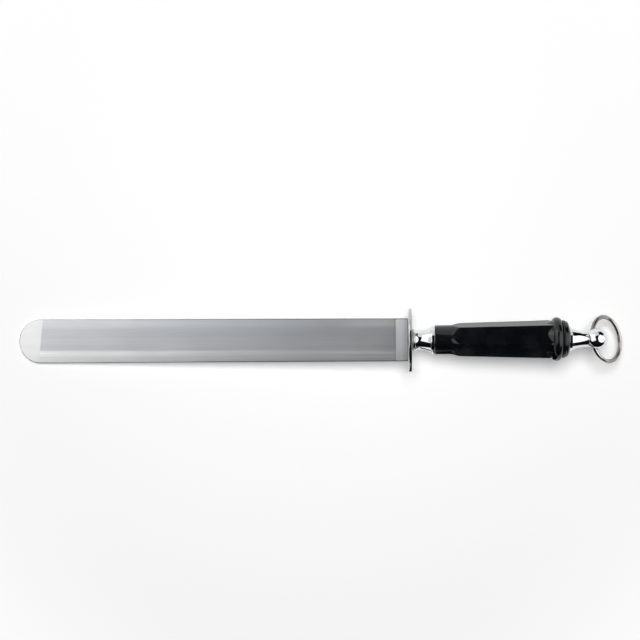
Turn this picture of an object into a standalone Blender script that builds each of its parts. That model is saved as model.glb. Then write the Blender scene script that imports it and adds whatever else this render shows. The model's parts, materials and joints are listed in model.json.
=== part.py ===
"""A flat butcher's sharpening steel: blade with a through tang, round guard, turned bolster,
six-sided grip, end cap, pommel, swivel ball and hanging ring. Units are metres, +Z is up, and
the steel lies at rest on z = 0."""

import math

import bmesh
import bpy
from mathutils import Matrix, Vector

# Fits between pieces
SEAT_GAP = 0.0003
TANG_CLEARANCE = 0.0003
CORE_CLEARANCE = 0.0003
SWIVEL_CLEARANCE = 0.0003
RING_CLEARANCE = 0.0004

# Blade: a long flat bar whose faces fall away at the flanks, with a half-round tip
BLADE_LENGTH = 0.300
BLADE_WIDTH_AT_GUARD = 0.0325
BLADE_WIDTH_AT_TIP = 0.0340
BLADE_THICKNESS = 0.0050
BLADE_EDGE_THICKNESS = 0.0030
BLADE_FLANK_WIDTH = 0.0085
TANG_DIAMETER = 0.0080
TANG_END_CHAMFER = 0.0008
TANG_ROOT_DEPTH = 0.0040
TANG_ROOT_SHARE = 0.9
TANG_IN_POMMEL = 0.0055

# Guard: a thin round disc
GUARD_DIAMETER = 0.0480
GUARD_THICKNESS = 0.0025
GUARD_RIM_CHAMFER = 0.0005

# Bolster: a turned spool with a bead against the guard and a flange against the grip
BOLSTER_LENGTH = 0.0167
BOLSTER_BEAD_DIAMETER = 0.0170
BOLSTER_BEAD_LENGTH = 0.0026
BOLSTER_WAIST_DIAMETER = 0.0146
BOLSTER_WAIST_FROM_FRONT = 0.0056
BOLSTER_FLARE_DIAMETER = 0.0188
BOLSTER_FLANGE_DIAMETER = 0.0215
BOLSTER_FLANGE_LENGTH = 0.0029
BOLSTER_GROOVE_DEPTH = 0.0005

# Grip: a round neck, a tapered six-sided body and a round bead at the rear
GRIP_LENGTH = 0.0943
GRIP_NECK_DIAMETER = 0.0219
GRIP_NECK_LENGTH = 0.0130
GRIP_NECK_CHAMFER = 0.0004
GRIP_FLATS_AT_NECK = 0.0221
GRIP_FLATS_AT_BEAD = 0.0256
GRIP_SHOULDER_ANGLE = math.radians(14)
GRIP_ROLL = math.radians(15)
GRIP_BEAD_DIAMETER = 0.0330
GRIP_BEAD_LENGTH = 0.0072
GRIP_BEAD_FOOT_DIAMETER = 0.0262
GRIP_FLAT_RUN_OUT = 0.0026
GRIP_CORE_DIAMETER = 0.0190
GRIP_CORE_DEPTH = 0.0150

# Clamp inside the grip's rear core
WASHER_DIAMETER = 0.0170
WASHER_THICKNESS = 0.0016
NUT_ACROSS_FLATS = 0.0130
NUT_HEIGHT = 0.0055

# End cap: a stepped dome with a spigot that plugs the grip's core
CAP_LENGTH = 0.0050
CAP_DIAMETER = 0.0287
CAP_BAND_LENGTH = 0.0026
CAP_BAND_END_DIAMETER = 0.0274
CAP_CROWN_DIAMETER = 0.0190
CAP_SPIGOT_LENGTH = 0.0040

# Pommel: a collar and a hollow trumpet that narrows to the swivel
POMMEL_LENGTH = 0.0141
POMMEL_COLLAR_DIAMETER = 0.0178
POMMEL_COLLAR_LENGTH = 0.0020
POMMEL_FOOT_DIAMETER = 0.0168
POMMEL_NECK_DIAMETER = 0.0114
POMMEL_END_WALL = 0.0030

# Swivel: a drilled ball on a shank, headed over a washer inside the pommel
BALL_DIAMETER = 0.0164
SHANK_DIAMETER = 0.0040
SHANK_HEAD_DIAMETER = 0.0070
SHANK_HEAD_THICKNESS = 0.0014
SWIVEL_WASHER_DIAMETER = 0.0078
SWIVEL_WASHER_THICKNESS = 0.0010
RING_HOLE_OFFSET = 0.0029
RING_HOLE_SKEW = math.radians(5)
SWIVEL_ROLL = math.radians(-7)

# Hanging ring: round wire, resting swung down from the axis
RING_OUTER_DIAMETER = 0.0372
RING_WIRE_DIAMETER = 0.0033
RING_SWING = math.radians(44)

# Fineness of the round shapes
TURNED_SEGMENTS = 36
SMALL_SEGMENTS = 24
RING_SEGMENTS = 48
WIRE_SEGMENTS = 12
TIP_SEGMENTS = 20
CURVE_STEPS = 5
SMOOTH_ANGLE = math.radians(32)
MERGE_DISTANCE = 1e-7

# Stations along the axis, counted from the blade's shoulder towards the ring
GUARD_FRONT = SEAT_GAP
BOLSTER_FRONT = GUARD_FRONT + GUARD_THICKNESS + SEAT_GAP
GRIP_FRONT = BOLSTER_FRONT + BOLSTER_LENGTH + SEAT_GAP
GRIP_REAR = GRIP_FRONT + GRIP_LENGTH
CORE_FLOOR = GRIP_REAR - GRIP_CORE_DEPTH
WASHER_FRONT = CORE_FLOOR + SEAT_GAP
NUT_FRONT = WASHER_FRONT + WASHER_THICKNESS + SEAT_GAP
CAP_FRONT = GRIP_REAR + SEAT_GAP
POMMEL_FRONT = CAP_FRONT + CAP_LENGTH + SEAT_GAP
POMMEL_REAR = POMMEL_FRONT + POMMEL_LENGTH
END_WALL_FRONT = POMMEL_REAR - POMMEL_END_WALL
TANG_END = POMMEL_FRONT + TANG_IN_POMMEL
SWIVEL_WASHER_REAR = END_WALL_FRONT - SEAT_GAP
SHANK_HEAD_REAR = SWIVEL_WASHER_REAR - SWIVEL_WASHER_THICKNESS - SEAT_GAP
BALL_FRONT = POMMEL_REAR + SEAT_GAP

# Radii that fit one another
TANG_RADIUS = TANG_DIAMETER / 2
TANG_BORE_RADIUS = TANG_RADIUS + TANG_CLEARANCE
BALL_RADIUS = BALL_DIAMETER / 2
RING_WIRE_RADIUS = RING_WIRE_DIAMETER / 2
RING_MEAN_RADIUS = RING_OUTER_DIAMETER / 2 - RING_WIRE_RADIUS
BALL_CENTRE = BALL_FRONT + math.sqrt(BALL_RADIUS**2 - (POMMEL_NECK_DIAMETER / 2) ** 2)


def clear_scene():
    for old in list(bpy.data.objects):
        bpy.data.objects.remove(old)


def material(name, colour, roughness, metallic):
    made = bpy.data.materials.new(name)
    made.use_nodes = True
    shader = made.node_tree.nodes["Principled BSDF"]
    shader.inputs["Base Color"].default_value = (*colour, 1)
    shader.inputs["Roughness"].default_value = roughness
    shader.inputs["Metallic"].default_value = metallic
    return made


def add_piece(name, shape, finish, parent):
    """Turns a bmesh into a named object with its own material, smooth where it is round."""
    mesh = bpy.data.meshes.new(name)
    shape.to_mesh(mesh)
    shape.free()
    mesh.shade_smooth()
    mesh.set_sharp_from_angle(angle=SMOOTH_ANGLE)
    mesh.materials.append(finish)
    piece = bpy.data.objects.new(name, mesh)
    piece.parent = parent
    bpy.context.scene.collection.objects.link(piece)
    return piece


def add_helper(name, shape, parent):
    """A shape that only cuts or joins another piece."""
    helper = add_piece(name, shape, None, parent)
    helper.hide_render = True
    helper.display_type = "WIRE"
    return helper


def combine(piece, helper, operation):
    step = piece.modifiers.new(helper.name, "BOOLEAN")
    step.operation = operation
    step.object = helper
    step.solver = "EXACT"


def turned(profile, segments=TURNED_SEGMENTS):
    """Spins (x, radius) points, a closed section or one that ends on the axis, about the X axis."""
    shape = bmesh.new()
    points = [shape.verts.new((x, 0, radius)) for x, radius in profile]
    edges = [shape.edges.new(pair) for pair in zip(points, points[1:])]
    if profile[0][1] > 0:
        edges.append(shape.edges.new((points[-1], points[0])))
    bmesh.ops.spin(
        shape,
        geom=points + edges,
        cent=(0, 0, 0),
        axis=(1, 0, 0),
        angle=math.tau,
        steps=segments,
        use_merge=True,
    )
    bmesh.ops.remove_doubles(shape, verts=shape.verts, dist=MERGE_DISTANCE)
    bmesh.ops.recalc_face_normals(shape, faces=shape.faces)
    return shape


def rod(start, end, radius, segments=SMALL_SEGMENTS):
    return turned([(start, 0), (start, radius), (end, radius), (end, 0)], segments)


def sleeve(start, end, outer, inner, segments=SMALL_SEGMENTS):
    return turned([(start, inner), (start, outer), (end, outer), (end, inner)], segments)


def half_round(start, end, foot, crest):
    """Points of a bead between two stations, from its foot radius over the crest and back."""
    middle = (start + end) / 2
    half_length = (end - start) / 2
    points = []
    for step in range(2 * CURVE_STEPS + 1):
        angle = math.pi * step / (2 * CURVE_STEPS)
        x = middle - half_length * math.cos(angle)
        points.append((x, foot + (crest - foot) * math.sin(angle)))
    return points


def trumpet(start, end, start_radius, end_radius):
    """Points of a concave flare that leaves its start radius gently and reaches its end radius steeply."""
    points = []
    for step in range(CURVE_STEPS + 1):
        share = step / CURVE_STEPS
        radius = start_radius + (end_radius - start_radius) * share**2
        points.append((start + (end - start) * share, radius))
    return points


def blade_half_width(x):
    share = -x / (BLADE_LENGTH - BLADE_WIDTH_AT_TIP / 2)
    return (BLADE_WIDTH_AT_GUARD + (BLADE_WIDTH_AT_TIP - BLADE_WIDTH_AT_GUARD) * share) / 2


def blade_outline(run_on):
    """The plan of the blade, run on past its shoulder so that its flanks are whole at the shoulder."""
    tip_radius = BLADE_WIDTH_AT_TIP / 2
    tip_centre = tip_radius - BLADE_LENGTH
    points = [(run_on, blade_half_width(run_on))]
    for step in range(TIP_SEGMENTS + 1):
        angle = math.pi / 2 + math.pi * step / TIP_SEGMENTS
        points.append((tip_centre + tip_radius * math.cos(angle), tip_radius * math.sin(angle)))
    points.append((run_on, -blade_half_width(run_on)))
    return points


def make_blade(root):
    shape = bmesh.new()
    flank_rise = (BLADE_THICKNESS - BLADE_EDGE_THICKNESS) / 2
    outline = blade_outline(2 * BLADE_FLANK_WIDTH)
    lower = shape.faces.new([shape.verts.new((x, y, -BLADE_EDGE_THICKNESS / 2)) for x, y in outline])
    raised = bmesh.ops.extrude_face_region(shape, geom=[lower], use_keep_orig=True)["geom"]
    moved = [item for item in raised if isinstance(item, bmesh.types.BMVert)]
    bmesh.ops.translate(shape, verts=moved, vec=(0, 0, BLADE_EDGE_THICKNESS))
    bmesh.ops.recalc_face_normals(shape, faces=shape.faces)
    upper = next(item for item in raised if isinstance(item, bmesh.types.BMFace))
    for broad_face in (upper, lower):
        bmesh.ops.inset_region(
            shape,
            faces=[broad_face],
            thickness=BLADE_FLANK_WIDTH,
            depth=flank_rise,
            use_even_offset=True,
        )
    everything = shape.verts[:] + shape.edges[:] + shape.faces[:]
    cut = bmesh.ops.bisect_plane(
        shape,
        geom=everything,
        plane_co=(0, 0, 0),
        plane_no=(1, 0, 0),
        clear_outer=True,
    )
    rim = [item for item in cut["geom_cut"] if isinstance(item, bmesh.types.BMEdge)]
    bmesh.ops.contextual_create(shape, geom=rim)
    bmesh.ops.recalc_face_normals(shape, faces=shape.faces)
    blade = add_piece("blade", shape, material("satin_steel", (0.62, 0.63, 0.64), 0.35, 1), root)

    root_radius = TANG_ROOT_SHARE * BLADE_THICKNESS / 2
    tang_profile = [
        (-TANG_ROOT_DEPTH, 0),
        (-TANG_ROOT_DEPTH, root_radius),
        (0, root_radius),
        (SEAT_GAP / 2, TANG_RADIUS),
        (TANG_END - TANG_END_CHAMFER, TANG_RADIUS),
        (TANG_END, TANG_RADIUS - TANG_END_CHAMFER),
        (TANG_END, 0),
    ]
    tang = add_helper("tang_shape", turned(tang_profile, SMALL_SEGMENTS), root)
    combine(blade, tang, "UNION")


def make_guard(root):
    rear = GUARD_FRONT + GUARD_THICKNESS
    rim = GUARD_DIAMETER / 2
    profile = [
        (GUARD_FRONT, TANG_BORE_RADIUS),
        (GUARD_FRONT, rim - GUARD_RIM_CHAMFER),
        (GUARD_FRONT + GUARD_RIM_CHAMFER, rim),
        (rear - GUARD_RIM_CHAMFER, rim),
        (rear, rim - GUARD_RIM_CHAMFER),
        (rear, TANG_BORE_RADIUS),
    ]
    add_piece("guard_disc", turned(profile), material("guard_steel", (0.60, 0.60, 0.60), 0.25, 1), root)


def make_bolster(root):
    rear = BOLSTER_FRONT + BOLSTER_LENGTH
    bead_end = BOLSTER_FRONT + BOLSTER_BEAD_LENGTH
    flange_front = rear - BOLSTER_FLANGE_LENGTH
    waist_radius = BOLSTER_WAIST_DIAMETER / 2
    waist = BOLSTER_FRONT + BOLSTER_WAIST_FROM_FRONT
    foot = waist_radius + BOLSTER_GROOVE_DEPTH
    profile = [(BOLSTER_FRONT, TANG_BORE_RADIUS)]
    profile += half_round(BOLSTER_FRONT, bead_end, foot, BOLSTER_BEAD_DIAMETER / 2)
    profile += trumpet(waist, flange_front, waist_radius, BOLSTER_FLARE_DIAMETER / 2)
    profile += [
        (flange_front, BOLSTER_FLANGE_DIAMETER / 2),
        (rear, BOLSTER_FLANGE_DIAMETER / 2),
        (rear, TANG_BORE_RADIUS),
    ]
    add_piece("bolster", turned(profile), material("bolster_chrome", (0.80, 0.80, 0.80), 0.06, 1), root)


def flats_sleeve(neck_end, flats_end):
    """A six-sided tapered form, clear of the grip's neck and bead, that leaves flats between them."""
    wide = GRIP_BEAD_DIAMETER
    stations = [
        (GRIP_FRONT - wide, wide),
        (neck_end - GRIP_FLAT_RUN_OUT, wide),
        (neck_end, GRIP_FLATS_AT_NECK / 2),
        (flats_end, GRIP_FLATS_AT_BEAD / 2),
        (flats_end + GRIP_FLAT_RUN_OUT, GRIP_BEAD_DIAMETER / 2),
        (GRIP_REAR + wide, 2 * wide),
    ]
    shape = bmesh.new()
    rings = []
    for x, apothem in stations:
        ring = []
        for corner in range(6):
            angle = GRIP_ROLL + math.radians(30 + 60 * corner)
            reach = apothem / math.cos(math.radians(30))
            ring.append(shape.verts.new((x, reach * math.sin(angle), reach * math.cos(angle))))
        rings.append(ring)
    for near, far in zip(rings, rings[1:]):
        for corner in range(6):
            following = (corner + 1) % 6
            shape.faces.new((near[corner], near[following], far[following], far[corner]))
    shape.faces.new(rings[0])
    shape.faces.new(rings[-1])
    bmesh.ops.recalc_face_normals(shape, faces=shape.faces)
    return shape


def make_grip(root):
    neck_end = GRIP_FRONT + GRIP_NECK_LENGTH
    bead_front = GRIP_REAR - GRIP_BEAD_LENGTH
    neck_radius = GRIP_NECK_DIAMETER / 2
    foot_radius = GRIP_BEAD_FOOT_DIAMETER / 2
    body_radius = GRIP_FLATS_AT_BEAD / 2 / math.cos(math.radians(30)) + GRIP_NECK_CHAMFER
    shoulder_end = neck_end + (body_radius - neck_radius) / math.tan(GRIP_SHOULDER_ANGLE)
    profile = [
        (GRIP_FRONT, TANG_BORE_RADIUS),
        (GRIP_FRONT, neck_radius - GRIP_NECK_CHAMFER),
        (GRIP_FRONT + GRIP_NECK_CHAMFER, neck_radius),
        (neck_end, neck_radius),
        (shoulder_end, body_radius),
        (bead_front, body_radius),
    ]
    bead_middle = bead_front + GRIP_BEAD_LENGTH / 2
    for x, radius in half_round(bead_front, GRIP_REAR, foot_radius, GRIP_BEAD_DIAMETER / 2):
        if radius > body_radius or x > bead_middle:
            profile.append((x, radius))
    profile += [
        (GRIP_REAR, GRIP_CORE_DIAMETER / 2),
        (CORE_FLOOR, GRIP_CORE_DIAMETER / 2),
        (CORE_FLOOR, TANG_BORE_RADIUS),
    ]
    grip = add_piece("grip", turned(profile), material("gloss_black", (0.010, 0.010, 0.012), 0.15, 0), root)
    flats = add_helper("grip_flats_shape", flats_sleeve(neck_end, bead_front - GRIP_FLAT_RUN_OUT), root)
    combine(grip, flats, "INTERSECT")


def make_clamp(root):
    washer_rear = WASHER_FRONT + WASHER_THICKNESS
    washer = sleeve(WASHER_FRONT, washer_rear, WASHER_DIAMETER / 2, TANG_BORE_RADIUS)
    add_piece("tang_washer", washer, material("washer_zinc", (0.55, 0.55, 0.53), 0.35, 1), root)
    corner_radius = NUT_ACROSS_FLATS / 2 / math.cos(math.radians(30))
    nut_rear = NUT_FRONT + NUT_HEIGHT
    nut_blank = rod(NUT_FRONT, nut_rear, corner_radius, 6)
    nut = add_piece("tang_nut", nut_blank, material("nut_zinc", (0.50, 0.50, 0.48), 0.4, 1), root)
    drill = rod(NUT_FRONT - NUT_HEIGHT, nut_rear + NUT_HEIGHT, TANG_BORE_RADIUS)
    bore = add_helper("nut_bore_shape", drill, root)
    combine(nut, bore, "DIFFERENCE")


def make_end_cap(root):
    rear = CAP_FRONT + CAP_LENGTH
    band_end = CAP_FRONT + CAP_BAND_LENGTH
    band_end_radius = CAP_BAND_END_DIAMETER / 2
    crown_radius = CAP_CROWN_DIAMETER / 2
    spigot_radius = GRIP_CORE_DIAMETER / 2 - CORE_CLEARANCE
    profile = [
        (CAP_FRONT - CAP_SPIGOT_LENGTH, TANG_BORE_RADIUS),
        (CAP_FRONT - CAP_SPIGOT_LENGTH, spigot_radius),
        (CAP_FRONT, spigot_radius),
        (CAP_FRONT, CAP_DIAMETER / 2),
    ]
    for step in range(CURVE_STEPS + 1):
        angle = math.pi / 2 * step / CURVE_STEPS
        x = band_end + (rear - band_end) * math.sin(angle)
        profile.append((x, crown_radius + (band_end_radius - crown_radius) * math.cos(angle)))
    profile.append((rear, TANG_BORE_RADIUS))
    add_piece("end_cap", turned(profile), material("cap_black", (0.012, 0.012, 0.014), 0.18, 0), root)


def make_pommel(root):
    collar_end = POMMEL_FRONT + POMMEL_COLLAR_LENGTH
    shank_bore = SHANK_DIAMETER / 2 + SWIVEL_CLEARANCE
    profile = [
        (END_WALL_FRONT, shank_bore),
        (END_WALL_FRONT, TANG_BORE_RADIUS),
        (POMMEL_FRONT, TANG_BORE_RADIUS),
        (POMMEL_FRONT, POMMEL_COLLAR_DIAMETER / 2),
        (collar_end, POMMEL_COLLAR_DIAMETER / 2),
    ]
    neck_radius = POMMEL_NECK_DIAMETER / 2
    profile += reversed(trumpet(POMMEL_REAR, collar_end, neck_radius, POMMEL_FOOT_DIAMETER / 2))
    profile.append((POMMEL_REAR, shank_bore))
    add_piece("pommel", turned(profile), material("pommel_chrome", (0.80, 0.80, 0.80), 0.06, 1), root)


def ring_hole():
    """An hourglass hole along Y: the wire's own path leaves it room to swing all the way round."""
    narrow = RING_WIRE_RADIUS + RING_CLEARANCE
    reach = BALL_RADIUS + RING_CLEARANCE
    walls = []
    for step in range(2 * CURVE_STEPS + 1):
        along = reach * (step / CURVE_STEPS - 1)
        walls.append((along, narrow + RING_MEAN_RADIUS - math.sqrt(RING_MEAN_RADIUS**2 - along**2)))
    shape = turned([(-reach, 0)] + walls + [(reach, 0)], SMALL_SEGMENTS)
    bmesh.ops.rotate(shape, verts=shape.verts, matrix=Matrix.Rotation(math.pi / 2, 3, "Z"))
    return shape


def make_swivel(root):
    """The ball turns about the handle's axis. Its origin is its centre, its shank towards the blade."""
    shank_radius = SHANK_DIAMETER / 2
    head_rear = SHANK_HEAD_REAR - BALL_CENTRE
    head_front = head_rear - SHANK_HEAD_THICKNESS
    flat = BALL_FRONT - BALL_CENTRE
    profile = [
        (head_front, 0),
        (head_front, SHANK_HEAD_DIAMETER / 2),
        (head_rear, SHANK_HEAD_DIAMETER / 2),
        (head_rear, shank_radius),
        (flat, shank_radius),
    ]
    start = math.acos(flat / BALL_RADIUS)
    steps = 3 * CURVE_STEPS
    for step in range(steps):
        angle = start * (1 - step / steps)
        profile.append((BALL_RADIUS * math.cos(angle), BALL_RADIUS * math.sin(angle)))
    profile.append((BALL_RADIUS, 0))
    chrome = material("swivel_chrome", (0.80, 0.80, 0.80), 0.06, 1)
    ball = add_piece("swivel_ball", turned(profile), chrome, root)
    ball.location = (BALL_CENTRE, 0, 0)
    ball.rotation_euler = (SWIVEL_ROLL, 0, 0)
    hole = add_helper("ring_hole_shape", ring_hole(), ball)
    hole.location = (-RING_HOLE_OFFSET, 0, 0)
    hole.rotation_euler = (0, 0, RING_HOLE_SKEW)
    combine(ball, hole, "DIFFERENCE")

    bore = shank_radius + SWIVEL_CLEARANCE
    washer_front = SWIVEL_WASHER_REAR - SWIVEL_WASHER_THICKNESS
    washer = sleeve(washer_front, SWIVEL_WASHER_REAR, SWIVEL_WASHER_DIAMETER / 2, bore)
    add_piece("swivel_washer", washer, material("washer_brass", (0.70, 0.55, 0.25), 0.3, 1), root)
    return ball


def make_ring(ball):
    """A wire ring that swings in the ball's hole. Its origin is where its wire crosses the hole."""
    shape = bmesh.new()
    section = bmesh.ops.create_circle(
        shape,
        segments=WIRE_SEGMENTS,
        radius=RING_WIRE_RADIUS,
        matrix=Matrix.Rotation(math.pi / 2, 4, "X"),
    )["verts"]
    edges = list({edge for vert in section for edge in vert.link_edges})
    bmesh.ops.spin(
        shape,
        geom=section + edges,
        cent=(RING_MEAN_RADIUS, 0, 0),
        axis=(0, 0, 1),
        angle=math.tau,
        steps=RING_SEGMENTS,
        use_merge=True,
    )
    bmesh.ops.recalc_face_normals(shape, faces=shape.faces)
    ring = add_piece("hanging_ring", shape, material("ring_steel", (0.55, 0.54, 0.53), 0.15, 1), ball)
    ring.location = (-RING_HOLE_OFFSET, 0, 0)
    ring.rotation_euler = (0, RING_SWING, RING_HOLE_SKEW)
    return ring


def rest_tilt(rim_x):
    """The angle at which the guard's rim and the blade's underside meet the table together."""
    rim = GUARD_DIAMETER / 2
    flat_end = BLADE_LENGTH - BLADE_FLANK_WIDTH
    edge_tilt = math.atan2(rim - BLADE_EDGE_THICKNESS / 2, BLADE_LENGTH + rim_x)
    flat_tilt = math.atan2(rim - BLADE_THICKNESS / 2, flat_end + rim_x)
    return min(edge_tilt, flat_tilt)


def lay_down(root, ring):
    """Rests the steel on the table, with the world's origin under the middle of its length."""
    rim_x = GUARD_FRONT + GUARD_RIM_CHAMFER
    tilt = rest_tilt(rim_x)
    root.rotation_euler = (0, -tilt, 0)
    turn = Matrix.Rotation(-tilt, 3, "Y")
    swivel = turn @ Matrix.Rotation(SWIVEL_ROLL, 3, "X")
    swing = swivel @ ring.rotation_euler.to_matrix()
    hole = turn @ Vector((BALL_CENTRE, 0, 0)) + swivel @ ring.location
    ring_centre = hole + swing @ Vector((RING_MEAN_RADIUS, 0, 0))
    ring_normal = swing @ Vector((0, 0, 1))
    ring_end = ring_centre.x + RING_MEAN_RADIUS * math.sqrt(1 - ring_normal.x**2) + RING_WIRE_RADIUS
    tip_end = (turn @ Vector((-BLADE_LENGTH, 0, BLADE_EDGE_THICKNESS / 2))).x
    rim_height = (turn @ Vector((rim_x, 0, -GUARD_DIAMETER / 2))).z
    root.location = (-(ring_end + tip_end) / 2, 0, -rim_height)


def main():
    clear_scene()
    root = bpy.data.objects.new("tool_axis", None)
    bpy.context.scene.collection.objects.link(root)
    make_blade(root)
    make_guard(root)
    make_bolster(root)
    make_grip(root)
    make_clamp(root)
    make_end_cap(root)
    make_pommel(root)
    ball = make_swivel(root)
    ring = make_ring(ball)
    lay_down(root, ring)


main()
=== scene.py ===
"""Dresses the sharpening steel: each visible piece is modelled finely round the frame and finished."""

import json
import logging
import math
from collections.abc import Callable, Mapping, Sequence
from dataclasses import dataclass, field
from enum import Enum
from typing import Any

import bmesh
import bpy
from mathutils import Euler, Matrix, Vector


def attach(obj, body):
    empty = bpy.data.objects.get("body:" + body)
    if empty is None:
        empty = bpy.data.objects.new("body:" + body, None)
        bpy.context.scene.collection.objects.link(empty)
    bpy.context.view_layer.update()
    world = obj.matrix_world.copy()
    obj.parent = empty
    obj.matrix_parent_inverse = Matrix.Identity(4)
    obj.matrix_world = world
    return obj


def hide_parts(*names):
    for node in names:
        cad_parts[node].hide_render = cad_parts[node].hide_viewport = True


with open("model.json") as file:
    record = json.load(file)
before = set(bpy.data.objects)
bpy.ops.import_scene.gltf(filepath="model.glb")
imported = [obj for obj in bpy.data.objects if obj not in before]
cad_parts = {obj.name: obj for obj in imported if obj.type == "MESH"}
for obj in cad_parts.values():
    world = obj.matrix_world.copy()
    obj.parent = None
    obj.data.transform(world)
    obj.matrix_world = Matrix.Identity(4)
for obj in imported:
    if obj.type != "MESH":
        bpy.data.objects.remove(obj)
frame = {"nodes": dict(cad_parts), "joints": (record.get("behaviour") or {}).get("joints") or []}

log = logging.getLogger("sharpening_steel")

Point = tuple[float, float]
Colour = tuple[float, float, float]
Shape = bmesh.types.BMesh
Node = bpy.types.Node
Socket = bpy.types.NodeSocket

SEAT_GAP = 0.0003
FIT = 0.0003
TANG_RADIUS = 0.0040
TANG_IN_POMMEL = 0.0055
WASHER_THICKNESS = 0.0010
WIRE_RADIUS = 0.00165
RING_OUTER_RADIUS = 0.0186
RING_MEAN_RADIUS = RING_OUTER_RADIUS - WIRE_RADIUS
SWIVEL_ROLL = math.radians(-7)
RING_SWING = math.radians(44)

TURNED_SEGMENTS = 160
CURVE_STEPS = 24
MERGE_DISTANCE = 1e-7
WELD_DISTANCE = 4e-6
SHARP_ANGLE = math.radians(40)
WHITE = (1.0, 1.0, 1.0)


class Body(Enum):
    """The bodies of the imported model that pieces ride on."""

    HANDLE = "handle"
    SWIVEL = "swivel"
    RING = "ring"


class Cut(Enum):
    """How one solid shape works on another."""

    JOIN = "UNION"
    DRILL = "DIFFERENCE"


@dataclass(frozen=True)
class Place:
    """Where a piece's own drawing axes lie in the world."""

    origin: Vector = field(default_factory=Vector)
    turn: Matrix = field(default_factory=lambda: Matrix.Identity(3))

    def matrix(self) -> Matrix:
        """The transform from drawing axes to the world."""
        return Matrix.Translation(self.origin) @ self.turn.to_4x4()

    def moved(self, offset: Vector, turn: Matrix) -> "Place":
        """A place shifted along this one's own axes, then turned about them."""
        return Place(self.origin + self.turn @ offset, self.turn @ turn)


# Shapes


@dataclass
class Section:
    """The section of a turned piece: corners as (x, radius), each rounded by its own length.

    A rounding takes up no more than the side share of a straight run. The brace share says how far past the
    rounding a point holds the run straight.
    """

    round_steps: int = 8
    side_share: float = 0.45
    brace_share: float = 0.08
    corners: list[tuple[float, float, float]] = field(default_factory=list)

    def corner(self, x: float, radius: float, rounding: float = 0.0) -> "Section":
        """Adds a corner, rounded by a length of each side, and gives the section back for the next call."""
        self.corners.append((x, radius, rounding))
        return self

    def curve(self, points: Sequence[Point]) -> "Section":
        """Adds points that already lie on a curve, and gives the section back for the next call."""
        self.corners += [(x, radius, 0.0) for x, radius in points]
        return self

    def traced(self) -> list[Point]:
        """Rounds the corners.

        Returns:
            The finished section as (x, radius) points.
        """
        traced: list[Point] = []
        count = len(self.corners)
        for index, (x, radius, rounding) in enumerate(self.corners):
            if not rounding:
                traced.append((x, radius))
                continue
            here = Vector((x, radius))
            before = Vector(self.corners[index - 1][:2]) - here
            after = Vector(self.corners[(index + 1) % count][:2]) - here
            entry = here + before.normalized() * min(rounding, before.length * self.side_share)
            leave = here + after.normalized() * min(rounding, after.length * self.side_share)
            traced.append(tuple(entry.lerp(here + before, self.brace_share)))
            for step in range(self.round_steps + 1):
                share = step / self.round_steps
                traced.append(tuple(entry.lerp(here, share).lerp(here.lerp(leave, share), share)))
            traced.append(tuple(leave.lerp(here + after, self.brace_share)))
        return traced


def bead(start: float, end: float, foot: float, crest: float) -> list[Point]:
    """Points of a half-round bead.

    Args:
        start: First station.
        end: Last station.
        foot: Radius at both stations.
        crest: Radius at the middle.

    Returns:
        Stations and radii.
    """
    middle, half = (start + end) / 2, (end - start) / 2
    angles = [math.pi * step / CURVE_STEPS for step in range(CURVE_STEPS + 1)]
    return [(middle - half * math.cos(angle), foot + (crest - foot) * math.sin(angle)) for angle in angles]


def flare(start: Point, end: Point, power: float = 2.0) -> list[Point]:
    """Points of a concave flare that leaves its start along the axis and steepens towards its end.

    Args:
        start: Station and radius where it runs along the axis.
        end: Station and radius where it is steepest.
        power: How late it steepens.

    Returns:
        Stations and radii.
    """
    run, rise = end[0] - start[0], end[1] - start[1]
    shares = [step / CURVE_STEPS for step in range(CURVE_STEPS + 1)]
    return [(start[0] + run * share, start[1] + rise * share**power) for share in shares]


def soft_least(first: float, second: float, blend: float) -> float:
    """The smaller of two values, rounded where they differ by less than the blend."""
    share = max(blend - abs(first - second), 0.0) / blend
    return min(first, second) - share * share * blend / 4


def soft_most(first: float, second: float, blend: float) -> float:
    """The larger of two values, rounded where they differ by less than the blend."""
    return -soft_least(-first, -second, blend)


def turned(section: Sequence[Point], segments: int = TURNED_SEGMENTS) -> Shape:
    """Spins a section about the X axis.

    Args:
        section: Points of a closed section, or of one that starts and ends on the axis.
        segments: Number of steps round the axis.

    Returns:
        A closed shape with its faces outwards.
    """
    shape = bmesh.new()
    points = [shape.verts.new((x, 0, radius)) for x, radius in section]
    edges = [shape.edges.new(pair) for pair in zip(points, points[1:])]
    if section[0][1] > 0:
        edges.append(shape.edges.new((points[-1], points[0])))
    spin = {"cent": (0, 0, 0), "axis": (1, 0, 0), "angle": math.tau, "steps": segments}
    bmesh.ops.spin(shape, geom=points + edges, use_merge=True, **spin)
    bmesh.ops.remove_doubles(shape, verts=shape.verts, dist=MERGE_DISTANCE)
    bmesh.ops.recalc_face_normals(shape, faces=shape.faces)
    return shape


def as_object(name: str, shape: Shape) -> bpy.types.Object:
    """Makes a smooth-shaded object of a shape.

    Args:
        name: Name of the object.
        shape: The shape, which is freed.

    Returns:
        The new object, in the scene.
    """
    mesh = bpy.data.meshes.new(name)
    shape.to_mesh(mesh)
    shape.free()
    mesh.shade_smooth()
    mesh.set_sharp_from_angle(angle=SHARP_ANGLE)
    made = bpy.data.objects.new(name, mesh)
    bpy.context.scene.collection.objects.link(made)
    return made


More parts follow.
